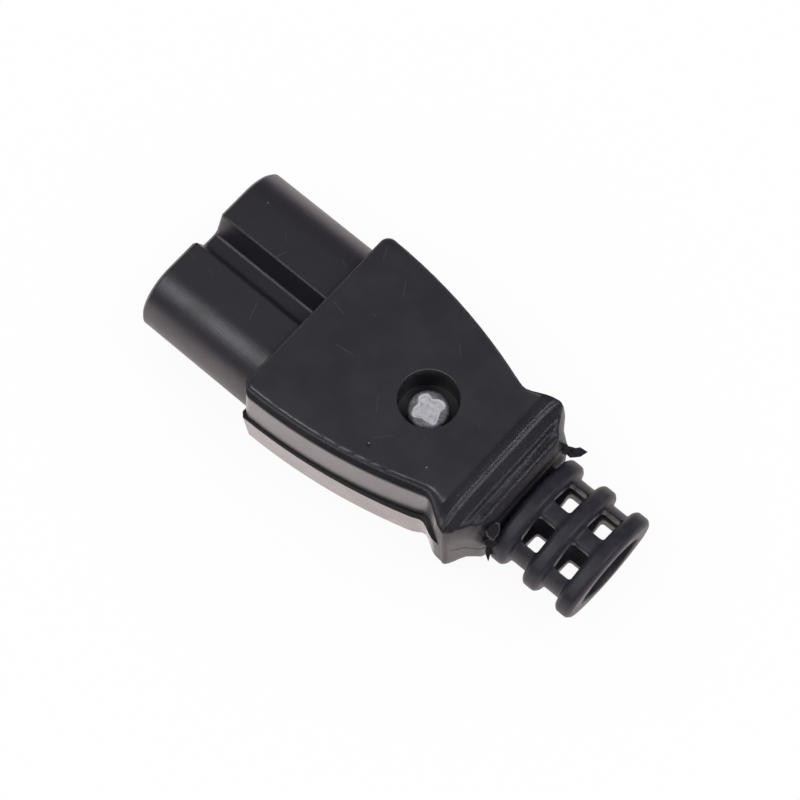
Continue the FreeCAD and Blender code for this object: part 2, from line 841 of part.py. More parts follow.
def make_contact_carrier():
    """Nose with its two lobes, the collar that the shells grip and the flange behind it."""
    body = new_body("contact_carrier")
    outline = new_sketch(body, "nose_outline")
    draw_slot(outline, dims.pin_spacing, dims.lobe_radius)
    pad(body, "nose", outline, dims.nose_length)

    groove = new_sketch(body, "groove_outline")
    floor = dims.lobe_radius - dims.groove_depth
    draw_trapezium(groove, dims.groove_floor, dims.groove_width, floor, dims.lobe_radius)
    cut = pocket(body, "groove", groove, dims.nose_length, flipped=True)
    mirror = body.newObject("PartDesign::Mirrored", "grooves")
    mirror.Originals = [cut]
    mirror.MirrorPlane = (origin_feature(body, "XY_Plane"), [""])
    body.Tip = mirror

    face = dims.nose_length.number
    round_edges(body, "groove_corners", dims.groove_round,
                lambda edge: edge.BoundBox.XLength > face - NEAR
                and abs(abs(edge.BoundBox.Center.z) - floor.number) < NEAR)
    round_edges(body, "nose_rim", dims.nose_edge, lambda edge: spans(edge, "X", face, face), kind="Chamfer")

    collar = new_sketch(body, "collar_outline")
    draw_rounded_rectangle(collar, collar_width, collar_rise, collar_rise, dims.collar_corner)
    pad(body, "collar", collar, dims.front_wall + dims.fit, flipped=True)
    flange = new_sketch(body, "flange_outline", offset=-dims.front_wall - dims.fit)
    roof_play = dims.top_wall + dims.fit
    draw_rounded_rectangle(flange, flange_width, lower_height - roof_play, upper_height - roof_play,
                           dims.collar_corner)
    pad(body, "flange", flange, dims.flange_depth - dims.fit, flipped=True)

    half_spacing = dims.pin_spacing / 2
    sleeves = new_sketch(body, "sleeve_bores_outline", offset=sleeve_reach + dims.fit)
    draw_circle(sleeves, sleeve_radius + dims.fit, x=half_spacing)
    draw_circle(sleeves, sleeve_radius + dims.fit, x=-half_spacing)
    pocket(body, "sleeve_bores", sleeves, sleeve_reach + dims.fit + carrier_reach)
    pins = new_sketch(body, "pin_holes_outline", offset=dims.nose_length)
    draw_circle(pins, pin_hole_radius, x=half_spacing)
    draw_circle(pins, pin_hole_radius, x=-half_spacing)
    pocket(body, "pin_holes", pins, dims.sleeve_setback)
    round_edges(body, "pin_lead_in", dims.pin_lead_in,
                lambda edge: spans(edge, "X", face, face) and edge.Closed, kind="Chamfer")
    return body


def make_contact(label, y):
    """Slit brass sleeve that grips the pin, with a solid terminal behind it for the wire."""
    body = new_body(label, y=y)
    sleeve = new_sketch(body, f"{label}_sleeve_outline", offset=sleeve_reach)
    draw_circle(sleeve, sleeve_radius)
    pad(body, f"{label}_sleeve", sleeve, sleeve_reach + carrier_reach, flipped=True)
    terminal = new_sketch(body, f"{label}_terminal_outline", offset=-carrier_reach)
    draw_circle(terminal, terminal_radius)
    pad(body, f"{label}_terminal", terminal, dims.terminal_length, flipped=True)
    bore = new_sketch(body, f"{label}_bore_outline", offset=sleeve_reach)
    draw_circle(bore, dims.pin_bore_radius)
    pocket(body, f"{label}_pin_bore", bore, dims.pin_depth)
    slit = new_sketch(body, f"{label}_slit_outline", offset=sleeve_reach)
    draw_box(slit, -dims.slit_width / 2, dims.pin_bore_radius / 2, dims.slit_width, sleeve_radius)
    pocket(body, f"{label}_slit", slit, dims.slit_length)
    flat = new_sketch(body, f"{label}_flat_outline", role="XY_Plane", offset=terminal_flat)
    terminal_end = -terminal_reach
    draw_box(flat, terminal_end, -terminal_radius, dims.terminal_length, 2 * terminal_radius)
    pocket(body, f"{label}_flat", flat, terminal_radius, flipped=True)
    wire = new_sketch(body, f"{label}_wire_outline", offset=terminal_end)
    draw_circle(wire, dims.wire_hole_radius)
    pocket(body, f"{label}_wire_hole", wire, dims.wire_hole_depth, flipped=True)
    clamp = new_sketch(body, f"{label}_clamp_outline", role="XY_Plane")
    draw_circle(clamp, dims.clamp_shank_radius + dims.thread_fit, x=terminal_end + dims.clamp_offset)
    pocket(body, f"{label}_clamp_hole", clamp, terminal_radius, flipped=True)
    return body


def make_terminal_screw(label, y):
    """Slotted clamp screw, drawn home on the flat of its terminal."""
    station = dims.clamp_offset - terminal_reach
    body = new_body(label, x=station, y=y)
    head = new_sketch(body, f"{label}_head_outline", role="XY_Plane", offset=terminal_flat)
    draw_circle(head, dims.clamp_head_radius)
    pad(body, f"{label}_head", head, dims.clamp_head_height)
    shank = new_sketch(body, f"{label}_shank_outline", role="XY_Plane", offset=terminal_flat)
    draw_circle(shank, dims.clamp_shank_radius)
    pad(body, f"{label}_shank", shank, terminal_flat, flipped=True)
    slot = new_sketch(body, f"{label}_slot_outline", role="XY_Plane",
                      offset=terminal_flat + dims.clamp_head_height)
    draw_box(slot, -2 * dims.clamp_head_radius, -dims.clamp_slot_width / 2, 4 * dims.clamp_head_radius,
             dims.clamp_slot_width)
    pocket(body, f"{label}_slot", slot, dims.clamp_slot_depth)
    return body


def make_housing_screw():
    """Cross-recessed screw, sunk in the upper shell and threaded into the lower one."""
    turn = Rotation(Vector(0, 0, 1), dims.cross_turn.number)
    body = new_body("housing_screw", x=-screw_station, turn=turn)
    head = new_sketch(body, "head_outline", role="XY_Plane", offset=screw_seat)
    draw_circle(head, dims.head_radius)
    pad(body, "head", head, dims.head_height)
    head_top = screw_seat.number + dims.head_height.number
    round_edges(body, "head_rim", dims.head_dome, lambda edge: spans(edge, "Z", head_top, head_top),
                kind="Chamfer")
    shank = new_sketch(body, "shank_outline", role="XY_Plane", offset=screw_seat)
    draw_circle(shank, dims.shank_radius)
    pad(body, "shank", shank, screw_seat + dims.screw_reach, flipped=True)
    cross = new_sketch(body, "cross_outline", role="XY_Plane", offset=screw_seat + dims.head_height)
    draw_box(cross, -dims.cross_length / 2, -dims.cross_width / 2, dims.cross_length, dims.cross_width)
    slot = pocket(body, "cross_slot", cross, dims.cross_depth)
    cross_recess = body.newObject("PartDesign::PolarPattern", "cross_recess")
    cross_recess.Originals = [slot]
    cross_recess.Axis = (origin_feature(body, "Z_Axis"), [""])
    cross_recess.Angle = 90
    cross_recess.Occurrences = 2
    body.Tip = cross_recess
    return body


def make_boot():
    """Flexible relief: anchor inside the neck, stem through it, and three rings on a windowed tube."""
    body = new_body("strain_relief_boot")

    def oval_pad(name, station, width, height, length):
        sketch = new_sketch(body, f"{name}_outline", offset=-station)
        draw_oval(sketch, width, height, dims.boot_crown)
        return pad(body, name, sketch, length, flipped=True)

    oval_pad("stem", anchor_station, stem_width, stem_height, ring_station - anchor_station)
    oval_pad("anchor", anchor_station, anchor_width, anchor_height, dims.anchor_thickness)
    oval_pad("tube", ring_station, tube_width, tube_height, boot_reach - ring_station)
    ring = oval_pad("ring", ring_station, ring_width, ring_height, dims.ring_thickness)
    along = (origin_feature(body, "X_Axis"), [""])
    rings = body.newObject("PartDesign::LinearPattern", "rings")
    rings.Originals = [ring]
    rings.Direction = along
    rings.Reversed = True
    bind(rings, "Length", 2 * ring_pitch)
    rings.Occurrences = 3
    body.Tip = rings

    half_tube = tube_height.number / 2 + NEAR
    half_span = tube_width.number / 2 + NEAR

    def on_ring_rim(edge):
        box = edge.BoundBox
        proud = max(box.ZMax, -box.ZMin) > half_tube or max(box.YMax, -box.YMin) > half_span
        return proud and box.XLength < NEAR and box.XMax < NEAR - ring_station.number

    round_edges(body, "ring_edges", dims.ring_edge, on_ring_rim, kind="Chamfer")

    bore = new_sketch(body, "cord_bore_outline", offset=-anchor_station)
    draw_oval(bore, dims.cord_width, dims.cord_height, dims.cord_crown)
    pocket(body, "cord_bore", bore, ring_station - anchor_station + dims.fit)
    mouth = new_sketch(body, "mouth_outline", offset=-ring_station)
    draw_oval(mouth, mouth_width, mouth_height, dims.mouth_crown)
    pocket(body, "mouth", mouth, boot_reach - ring_station)

    window = new_sketch(body, "window_outline", role="XY_Plane", offset=-ring_height)
    first_gap = -ring_station - ring_pitch
    draw_box(window, first_gap, dims.bar_width / 2, dims.ring_gap, window_width)
    draw_box(window, first_gap, -dims.bar_width / 2 - window_width, dims.ring_gap, window_width)
    opening = pocket(body, "window_pair", window, 2 * ring_height, flipped=True)
    windows = body.newObject("PartDesign::LinearPattern", "windows")
    windows.Originals = [opening]
    windows.Direction = along
    windows.Reversed = True
    bind(windows, "Length", ring_pitch)
    windows.Occurrences = 2
    body.Tip = windows
    return body


half_spacing = dims.pin_spacing / 2
pieces = [
    make_upper_shell(),
    make_lower_shell(),
    make_contact_carrier(),
    make_contact("contact_near", half_spacing),
    make_contact("contact_far", -half_spacing),
    make_terminal_screw("terminal_screw_near", half_spacing),
    make_terminal_screw("terminal_screw_far", -half_spacing),
    make_housing_screw(),
    make_boot(),
]
doc.recompute()

for item in doc.Objects:
    if {"Invalid", "Error"} & set(item.State):
        raise RuntimeError(f"{item.Label} failed: {item.State}")

os.makedirs("parts", exist_ok=True)
for piece in pieces:
    shape = piece.Shape
    if shape.isNull() or not shape.isValid():
        raise RuntimeError(f"{piece.Label} has no sound shape")
    shape.exportStep(f"parts/{piece.Label}.step")
    print(f"{piece.Label}: {len(shape.Solids)} solid, {shape.Volume:.1f} mm3")
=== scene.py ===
import math

import bmesh
import bpy
from mathutils import Matrix, Vector


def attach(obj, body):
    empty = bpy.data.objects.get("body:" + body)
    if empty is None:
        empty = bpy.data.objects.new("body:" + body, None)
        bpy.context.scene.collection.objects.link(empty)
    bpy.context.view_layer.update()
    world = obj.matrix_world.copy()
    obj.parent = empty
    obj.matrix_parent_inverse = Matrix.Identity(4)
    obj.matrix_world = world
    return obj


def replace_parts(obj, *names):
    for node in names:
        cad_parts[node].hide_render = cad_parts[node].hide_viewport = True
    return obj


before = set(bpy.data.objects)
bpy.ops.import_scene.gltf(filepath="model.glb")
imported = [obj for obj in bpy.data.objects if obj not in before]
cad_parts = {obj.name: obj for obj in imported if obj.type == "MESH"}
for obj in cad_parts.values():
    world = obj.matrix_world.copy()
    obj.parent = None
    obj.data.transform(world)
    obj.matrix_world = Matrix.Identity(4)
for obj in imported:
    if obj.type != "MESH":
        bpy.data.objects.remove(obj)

scene = bpy.context.scene
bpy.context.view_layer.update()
millimetre = 0.001
print("frame loaded")


class Signal:  # a node socket that can be used in sums
    def __init__(self, tree, socket=None):
        self.tree = tree
        self.socket = socket

    def plug(self, target, value):  # links a signal, sets anything else
        if isinstance(value, Signal):
            self.tree.links.new(value.socket, target)
        else:
            target.default_value = value

    def node(self, kind, settings=None, links=None, out=0):  # settings, then sockets by name or number
        made = self.tree.nodes.new("ShaderNode" + kind)
        for name, value in (settings or {}).items():
            setattr(made, name, value)
        for name, value in (links or {}).items():
            self.plug(made.inputs[name], value)
        return Signal(self.tree, made.outputs[out])

    def sibling(self, name):  # another output of the same node
        return Signal(self.tree, self.socket.node.outputs[name])

    def maths(self, operation, *values):
        return self.node("Math", {"operation": operation}, dict(enumerate(values)))

    def vectorMaths(self, operation, *values, out="Vector"):
        return self.node("VectorMath", {"operation": operation}, dict(enumerate(values)), out)

    def __add__(self, other):
        return self.maths("ADD", self, other)

    def __radd__(self, other):
        return self.maths("ADD", other, self)

    def __sub__(self, other):
        return self.maths("SUBTRACT", self, other)

    def __rsub__(self, other):
        return self.maths("SUBTRACT", other, self)

    def __mul__(self, other):
        return self.maths("MULTIPLY", self, other)

    def __rmul__(self, other):
        return self.maths("MULTIPLY", other, self)

    def __truediv__(self, other):
        return self.maths("DIVIDE", self, other)

    def __rtruediv__(self, other):
        return self.maths("DIVIDE", other, self)

    def __gt__(self, other):
        return self.maths("GREATER_THAN", self, other)

    def __lt__(self, other):
        return self.maths("LESS_THAN", self, other)

    def __abs__(self):
        return self.maths("ABSOLUTE", self)

    def most(self, other):
        return self.maths("MAXIMUM", self, other)

    def least(self, other):
        return self.maths("MINIMUM", self, other)

    def ramp(self, low, high):  # 0 below low, 1 above high, smooth between
        return self.node("MapRange", {"interpolation_type": "SMOOTHSTEP"}, {0: self, 1: low, 2: high})

    def tint(self, first, second):  # first colour where the signal is 0, second where it is 1
        return self.node("Mix", {"data_type": "RGBA"}, {0: self, 6: first, 7: second}, out=2)

    def bend(self, first, second):  # first normal where the signal is 0, second where it is 1
        return self.node("Mix", {"data_type": "VECTOR"}, {0: self, 4: first, 5: second}, out=1)


def startFinish(name, constants):  # material, its shader, and the place on the piece in mm
    finish = bpy.data.materials.new(name)
    finish.use_nodes = True
    shader = finish.node_tree.nodes["Principled BSDF"]
    for socket, value in constants.items():
        shader.inputs[socket].default_value = value
    base = Signal(finish.node_tree)
    spot = base.node("TexCoord", out="Object")
    inMillimetres = base.node("VectorMath", {"operation": "SCALE"}, {0: spot, "Scale": 1 / millimetre})
    return finish, shader, inMillimetres


def noise(spot, perMm, detail, roughness):
    links = {"Vector": spot, "Scale": perMm, "Detail": detail, "Roughness": roughness}
    return spot.node("TexNoise", None, links)


def blotches(spot, look, kind, detail, roughness):  # noise cut to soft patches
    cloud = noise(spot, look[kind + "PerMm"], detail, roughness)
    return cloud.ramp(look[kind + "From"], look[kind + "To"])


def specks(spot, look, smallest=0.4, softRim=0.5):  # small round dots, in a share of the cells
    perMm = look["speckPerMm"]
    cells = spot.node("TexVoronoi", None, {"Vector": spot, "Scale": perMm})
    pick = cells.node("SeparateColor", None, {0: cells.sibling("Color")})
    size = look["speckRadius"] * perMm * (smallest + pick.sibling("Green"))
    return (1 - cells / size).ramp(0.0, softRim) * (pick < look["speckShare"])


def scratches(spot, look, shortest=0.3, taper=0.4, upFrom=0.8):  # short hairlines on faces that look up
    length = look["scratchLength"]
    width = look["scratchWidth"]
    flatCells = {"voronoi_dimensions": "2D"}
    cells = spot.node("TexVoronoi", flatCells, {"Vector": spot, "Scale": look["scratchPerMm"]})
    pick = cells.node("SeparateColor", None, {0: cells.sibling("Color")})
    offset = spot.vectorMaths("SUBTRACT", spot, cells.sibling("Position"))
    angle = pick.sibling("Green") * math.tau
    turned = spot.node("VectorRotate", {"rotation_type": "Z_AXIS"}, {"Vector": offset, "Angle": angle})
    along = turned.node("SeparateXYZ", None, {0: turned})
    reach = length * (shortest + pick.sibling("Blue"))
    line = (width - abs(along.sibling("Y"))).ramp(0.0, width)
    ends = (reach - abs(along)).ramp(0.0, length * taper)
    upward = spot.node("SeparateXYZ", None, {0: spot.node("TexCoord", out="Normal")}).sibling("Z")
    return line * ends * (pick < look["scratchShare"]) * (upward > upFrom)


def softEdges(spot, radius, samples=6):  # normal of the surface with its edges rounded
    return spot.node("Bevel", {"samples": samples}, {"Radius": radius * millimetre})


def relief(spot, height, normal):  # height in mm over a normal
    return spot.node("Bump", None, {"Distance": millimetre, "Height": height, "Normal": normal})


def within(spot, centre, radius, soft):  # 1 inside a ball about a point
    gap = spot.vectorMaths("DISTANCE", spot, centre, out="Value")
    return 1 - gap.ramp(radius, radius + soft)


def roughBetween(look, signal):  # roughLow where the signal is 0, roughHigh where it is 1
    return look["roughLow"] + (look["roughHigh"] - look["roughLow"]) * signal


mouldedPlastic = {
    "deep": (0.0060, 0.0048, 0.0086, 1), "faded": (0.0090, 0.0074, 0.0125, 1),
    "patchPerMm": 0.35, "patchFrom": 0.35, "patchTo": 0.7,
    "roughLow": 0.34, "roughHigh": 0.42, "ior": 1.8, "coat": 1.0, "coatRough": 0.26, "dustyCoat": 0.3,
    "grainPerMm": 9.0, "grainDepth": 0.009, "edge": 0.1,
    "scratchPerMm": 0.42, "scratchLength": 0.7, "scratchWidth": 0.022, "scratchShare": 0.4,
    "scratchSunk": 0.8, "scratchTint": 0.3, "scratchRough": 0.25,
    "speckPerMm": 0.9, "speckRadius": 0.05, "speckShare": 0.22,
    # dust is also the colour of the painted highlight on the far side of the recess rim
    "dust": (0.2, 0.19, 0.195, 1), "dustRaised": 1.2, "dustTint": 0.8, "dustRough": 0.3,
}
nosePlastic = {
    **mouldedPlastic, "deep": (0.0135, 0.0118, 0.0175, 1), "coat": 0.0, "ior": 2.0,
    "grainDepth": 0.014, "edge": 0.25,
}
flashPlastic = {
    **mouldedPlastic, "deep": (0.004, 0.0035, 0.005, 1), "faded": (0.007, 0.006, 0.009, 1),
    "roughLow": 0.5, "coat": 0.0, "ior": 1.5, "grainPerMm": 4.0, "grainDepth": 0.05,
}
palePlastic = {
    **mouldedPlastic, "deep": (0.13, 0.12, 0.132, 1), "faded": (0.06, 0.054, 0.062, 1),
    "coat": 0.0, "grainPerMm": 4.0, "grainDepth": 0.05,
}

shellMarks = {  # what only the shells have, places in mm
    "bellFrom": -8.2, "bellRun": 0.6, "bellSteps": (  # front, back and rise of each wave
        (-8.3, -8.95, 0.07), (-9.1, -9.38, -0.06), (-9.45, -10.15, -0.7),
        (-10.35, -10.85, -0.14), (-11.0, -11.95, -0.6)),
    "roundFrom": 7.7, "roundTo": 9.5, "roundFade": 0.2, "roundDrop": 1.25, "roundSoft": 0.4,
    "leanBefore": 0.1, "leanAfter": 0.5, "topEdge": 0.3, "topEdgeFrom": 8.6,
    "coarsePerMm": 7.0, "coarseDepth": 0.04,
    "recess": (-2.25, 0.0, 0.0), "recessRadius": 2.36, "recessMargin": 0.1, "recessLip": 0.5,
    # recessPaintedFill is painted fill light: a lighter colour inside the recess that stands in for light
    # its shade takes away
    "recessTop": 9.4, "recessPaintedFill": (0.009, 0.0082, 0.0098, 1),
    # rimHighlight paints a lighter line on the far side of the recess rim: a painted highlight
    "rimHalf": 0.04, "rimSoft": 0.03, "rimFrom": 9.42, "rimHighlight": 0.7,
    "rimHighlightSide": (0.3, -0.35, 0.0), "rimHighlightFrom": 0.5, "rimHighlightTo": 0.9,
    "lint": ((-9.73, -4.63, 9.9), (-0.34, 0.57, 8.0), (-5.65, 4.17, 9.5), (-1.22, 5.5, 9.5)),
    "lintRadius": 0.05, "lintSoft": 0.03,
    # the pit and the seam band are painted near black: painted shade in the pit and in the gap between the
    # shells
    "pit": (-1.28, 5.66, 9.5), "pitRadius": 0.12, "pitSoft": 0.06,
    "seam": 4.5, "seamHalf": 0.06, "seamReach": 0.18, "seamShadeColour": (0.002, 0.002, 0.002, 1),
}


def shellZones(spot, marks):  # places on a shell, and masks that are 1 inside their zone
    along = spot.node("SeparateXYZ", None, {0: spot})
    height = along.sibling("Z")
    flat = spot.node("CombineXYZ", None, {0: along, 1: along.sibling("Y")})
    fromScrew = spot.vectorMaths("SUBTRACT", flat, marks["recess"])
    radius = spot.vectorMaths("LENGTH", fromScrew, out="Value")
    bell = (marks["bellFrom"] - along).ramp(0.0, marks["bellRun"])
    outside = radius > marks["recessRadius"] + marks["recessLip"]
    # the leaning band lies above the upright wall and fades out below the flat top
    below = 1 - (height - bell).ramp(marks["roundTo"] - marks["roundFade"], marks["roundTo"])
    above = height.ramp(marks["roundFrom"] - marks["leanBefore"], marks["roundFrom"] + marks["leanAfter"])
    pit = within(spot, marks["pit"], marks["pitRadius"], marks["pitSoft"])
    # offSeam and clear are 0 where the seam and the pit get their painted shade
    offSeam = abs(height - marks["seam"]).ramp(marks["seamHalf"], marks["seamReach"])
    inRecess = (radius < marks["recessRadius"] + marks["recessMargin"]) * (height < marks["recessTop"])
    return {
        "along": along, "height": height, "fromScrew": fromScrew, "radius": radius, "outside": outside,
        "bell": bell, "leaning": outside * below * above, "recess": inRecess, "clear": offSeam * (1 - pit),
    }


def addShellRelief(spot, layers, zones, marks):  # wide rounding of the top edge and the waves of the bell
    height = zones["height"]
    bell = zones["bell"]
    rise = (height - marks["roundFrom"]).most(0.0) * zones["outside"]
    tucked = rise * rise / (rise + marks["roundSoft"])  # the wall leans in towards the top
    coarse = noise(spot, marks["coarsePerMm"], detail=2.0, roughness=0.6) * marks["coarseDepth"]
    surface = layers["surface"] + coarse * bell.most(zones["leaning"]) - marks["roundDrop"] * tucked
    for front, back, step in marks["bellSteps"]:
        surface = surface + step * (front - zones["along"]).ramp(0.0, front - back)
    layers["surface"] = surface
    nearTop = zones["outside"] * (height > marks["topEdgeFrom"]) * (1 - bell)
    layers["normal"] = nearTop.bend(layers["normal"], softEdges(spot, marks["topEdge"]))


def addShellDirtAndPaintedLight(spot, layers, zones, marks):  # painted fill light in the recess, painted highlight on the recess rim, real lint, and painted shade in the pit and the black seam
    # painted fill light: the recess is coloured lighter against its shade
    body = zones["recess"].tint(layers["body"], marks["recessPaintedFill"])
    # painted shade: the seam and the pit are coloured near black
    layers["body"] = zones["clear"].tint(marks["seamShadeColour"], body)
    dust = layers["dust"]
    for centre in marks["lint"]:
        dust = dust.most(within(spot, centre, marks["lintRadius"], marks["lintSoft"]))
    # painted highlight: a lighter line on the far side of the recess rim, put into the dust layer
    farSide = spot.vectorMaths("DOT_PRODUCT", zones["fromScrew"], marks["rimHighlightSide"], out="Value")
    onRim = (marks["rimHalf"] - abs(zones["radius"] - marks["recessRadius"])).ramp(0.0, marks["rimSoft"])
    rim = onRim * (zones["height"] > marks["rimFrom"]) * farSide.ramp(marks["rimHighlightFrom"], marks["rimHighlightTo"])
    layers["dust"] = dust.most(rim * marks["rimHighlight"])
    coated = (1 - zones["leaning"]) * (1 - zones["bell"]) * (1 - zones["recess"])
    layers["coat"] = layers["coat"] * zones["clear"] * coated  # a coat would hide the relief


def makeMouldedPlastic(name, look, marks=None):
    finish, shader, spot = startFinish(name, {
        "IOR": look["ior"], "Coat IOR": look["ior"], "Coat Roughness": look["coatRough"]})
    patches = blotches(spot, look, "patch", detail=4.0, roughness=0.6)
    grain = noise(spot, look["grainPerMm"], detail=3.0, roughness=0.6)
    hairs = scratches(spot, look)
    dust = specks(spot, look)
    bumps = grain - look["scratchSunk"] * hairs + look["dustRaised"] * dust
    layers = {
        "body": patches.tint(look["deep"], look["faded"]), "dust": dust,
        "surface": bumps * look["grainDepth"], "normal": softEdges(spot, look["edge"]),
        "coat": look["coat"] - look["dustyCoat"] * look["coat"] * dust,
    }
    if marks:
        zones = shellZones(spot, marks)
        addShellRelief(spot, layers, zones, marks)
        addShellDirtAndPaintedLight(spot, layers, zones, marks)
    # on the shells the dust layer also holds the painted highlight on the recess rim
    smudges = (look["scratchTint"] * hairs + look["dustTint"] * layers["dust"]).least(1.0)
    spot.plug(shader.inputs["Base Color"], smudges.tint(layers["body"], look["dust"]))
    rough = roughBetween(look, patches) + look["scratchRough"] * hairs + look["dustRough"] * layers["dust"]
    spot.plug(shader.inputs["Roughness"], rough)
    spot.plug(shader.inputs["Normal"], relief(spot, layers["surface"], layers["normal"]))
    if look["coat"]:
        spot.plug(shader.inputs["Coat Weight"], layers["coat"])
    return finish


bootRubber = {
    "deep": (0.0165, 0.0155, 0.0235, 1), "bloom": (0.0290, 0.0275, 0.0380, 1),
    "bloomPerMm": 0.8, "bloomFrom": 0.35, "bloomTo": 0.75,
    "roughLow": 0.42, "roughHigh": 0.58, "ior": 1.5, "coat": 0.3, "coatRough": 0.4,
    "grainPerMm": 9.0, "grainDepth": 0.009, "edge": 0.1,
    "speckPerMm": 1.1, "speckRadius": 0.045, "speckShare": 0.2,
    "dust": (0.14, 0.13, 0.14, 1), "dustTint": 0.7,
}


def makeBootRubber(name, look):
    finish, shader, spot = startFinish(name, {
        "IOR": look["ior"], "Coat IOR": look["ior"], "Coat Weight": look["coat"],
        "Coat Roughness": look["coatRough"]})
    bloom = blotches(spot, look, "bloom", detail=4.0, roughness=0.65)
    grain = noise(spot, look["grainPerMm"], detail=4.0, roughness=0.65)
    dust = specks(spot, look)
    body = bloom.tint(look["deep"], look["bloom"])
    surface = (grain + dust) * look["grainDepth"]
    spot.plug(shader.inputs["Base Color"], (look["dustTint"] * dust).tint(body, look["dust"]))
    spot.plug(shader.inputs["Roughness"], roughBetween(look, bloom))
    spot.plug(shader.inputs["Normal"], relief(spot, surface, softEdges(spot, look["edge"])))
    return finish


screwSteel = {
    "bright": (0.97, 0.97, 1.0, 1), "dull": (0.10, 0.10, 0.115, 1), "fullShine": 1.1,
    "roughLow": 0.3, "roughHigh": 0.5, "metal": 0.25,
    "tarnishPerMm": 2.2, "tarnishFrom": 0.38, "tarnishTo": 0.66, "tarnishDim": 0.2,
    "pitPerMm": 4.5, "pitDepth": 0.03, "pitShine": 0.5, "edge": 0.05,
}


def makeScrewSteel(name, look):
    finish, shader, spot = startFinish(name, {"Metallic": look["metal"]})
    # the worn attribute is painted light: painted shade on the head and painted highlights along the cross
    # edges set the base colour
    worn = spot.node("Attribute", {"attribute_name": "worn"}, out="Fac")
    tarnish = blotches(spot, look, "tarnish", detail=5.0, roughness=0.65)
    pits = noise(spot, look["pitPerMm"], detail=3.0, roughness=0.55)
    shine = (worn + look["pitShine"] * pits - look["tarnishDim"] * tarnish).ramp(0.0, look["fullShine"])
    surface = pits * look["pitDepth"]
    spot.plug(shader.inputs["Base Color"], shine.tint(look["dull"], look["bright"]))
    spot.plug(shader.inputs["Roughness"], roughBetween(look, tarnish))
    spot.plug(shader.inputs["Normal"], relief(spot, surface, softEdges(spot, look["edge"])))
    return finish


contactBrass = {
    "bright": (0.72, 0.52, 0.22, 1), "dull": (0.36, 0.24, 0.10, 1), "roughLow": 0.2, "roughHigh": 0.48,
    "tarnishPerMm": 0.9, "tarnishFrom": 0.4, "tarnishTo": 0.7,
    "drawnPerMm": 9.0, "drawnScale": (0.12, 1.0, 1.0), "drawnDepth": 0.008, "edge": 0.06,
}


def makeContactBrass(name, look):
    finish, shader, spot = startFinish(name, {"Metallic": 1.0})
    stretched = spot.node("Mapping", None, {"Vector": spot, "Scale": look["drawnScale"]})
    surface = noise(stretched, look["drawnPerMm"], detail=3.0, roughness=0.6) * look["drawnDepth"]
    tarnish = blotches(spot, look, "tarnish", detail=4.0, roughness=0.6)
    spot.plug(shader.inputs["Base Color"], tarnish.tint(look["bright"], look["dull"]))
    spot.plug(shader.inputs["Roughness"], roughBetween(look, tarnish))
    spot.plug(shader.inputs["Normal"], relief(spot, surface, softEdges(spot, look["edge"])))
    return finish


shellFinish = makeMouldedPlastic("shellPlastic", mouldedPlastic, shellMarks)
noseFinish = makeMouldedPlastic("nosePlastic", nosePlastic)
bootFinish = makeBootRubber("bootRubber", bootRubber)
flashFinish = makeMouldedPlastic("flashPlastic", flashPlastic)
paleFinish = makeMouldedPlastic("palePlastic", palePlastic)
steelFinish = makeScrewSteel("screwSteel", screwSteel)
brassFinish = makeContactBrass("contactBrass", contactBrass)
print("finishes made")


def addObject(name, shape, finish):
    data = bpy.data.meshes.new(name)
    shape.to_mesh(data)
    shape.free()
    data.materials.append(finish)
    made = bpy.data.objects.new(name, data)
    scene.collection.objects.link(made)
    return made


def addPiece(name, shape, finish):
    piece = addObject(name, shape, finish)
    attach(piece, "root")
    return piece


def shadeSmooth(shape, sharpFrom):  # edges that turn by sharpFrom or more stay sharp
    for face in shape.faces:
        face.smooth = True
    for edge in shape.edges:
        edge.smooth = edge.is_manifold and edge.calc_face_angle(0) < sharpFrom


bellEnds = {  # places in mm, and how strongly each shell's points are drawn in
    "from": 6.2, "start": -8.0, "run": 1.2, "upperLobe": 0.4, "lowerLobe": 0.6,
}


def bluntBell(shape, look, lobe):  # draws in the points of the bell
    for vert in shape.verts:
        past = abs(vert.co.y) / millimetre - look["from"]
        behind = (look["start"] - vert.co.x / millimetre) / look["run"]
        if past > 0 and behind > 0:
            inward = min(behind, 1) * lobe * past * past / (1 + lobe * past)
            vert.co.y -= math.copysign(inward, vert.co.y) * millimetre


dressing = {  # lengths in mm, sharpFrom in radians
    "merge": 0.0005, "sharpFrom": 0.45, "bootCell": 0.12, "smoothFactor": 0.5, "smoothRounds": 5,
}


def dressNode(nodeName, finish, soften=0, lobe=0):  # merged, smooth-shaded copy of a solid
    shape = bmesh.new()
    shape.from_mesh(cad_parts[nodeName].data)
    bmesh.ops.remove_doubles(shape, verts=shape.verts, dist=dressing["merge"] * millimetre)
    if lobe:
        bluntBell(shape, bellEnds, lobe)
    shadeSmooth(shape, dressing["sharpFrom"])
    piece = addPiece(nodeName + ".dressed", shape, finish)
    if soften:
        even = piece.modifiers.new("evenCells", "REMESH")
        even.mode = "VOXEL"
        even.voxel_size = soften * millimetre
        even.use_smooth_shade = True
        worn = piece.modifiers.new("softEdges", "SMOOTH")
        worn.factor = dressing["smoothFactor"]
        worn.iterations = dressing["smoothRounds"]
    else:
        even = piece.modifiers.new("evenShading", "WEIGHTED_NORMAL")
        even.mode = "FACE_AREA"
        even.keep_sharp = True
    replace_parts(piece, nodeName)


dressNode("upper_shell", shellFinish, lobe=bellEnds["upperLobe"])
dressNode("lower_shell", shellFinish, lobe=bellEnds["lowerLobe"])
dressNode("contact_carrier", noseFinish)
dressNode("strain_relief_boot", bootFinish, soften=dressing["bootCell"])
for side in ("near", "far"):
    dressNode("contact_" + side, brassFinish)
    dressNode("terminal_screw_" + side, steelFinish)
print("solids dressed")


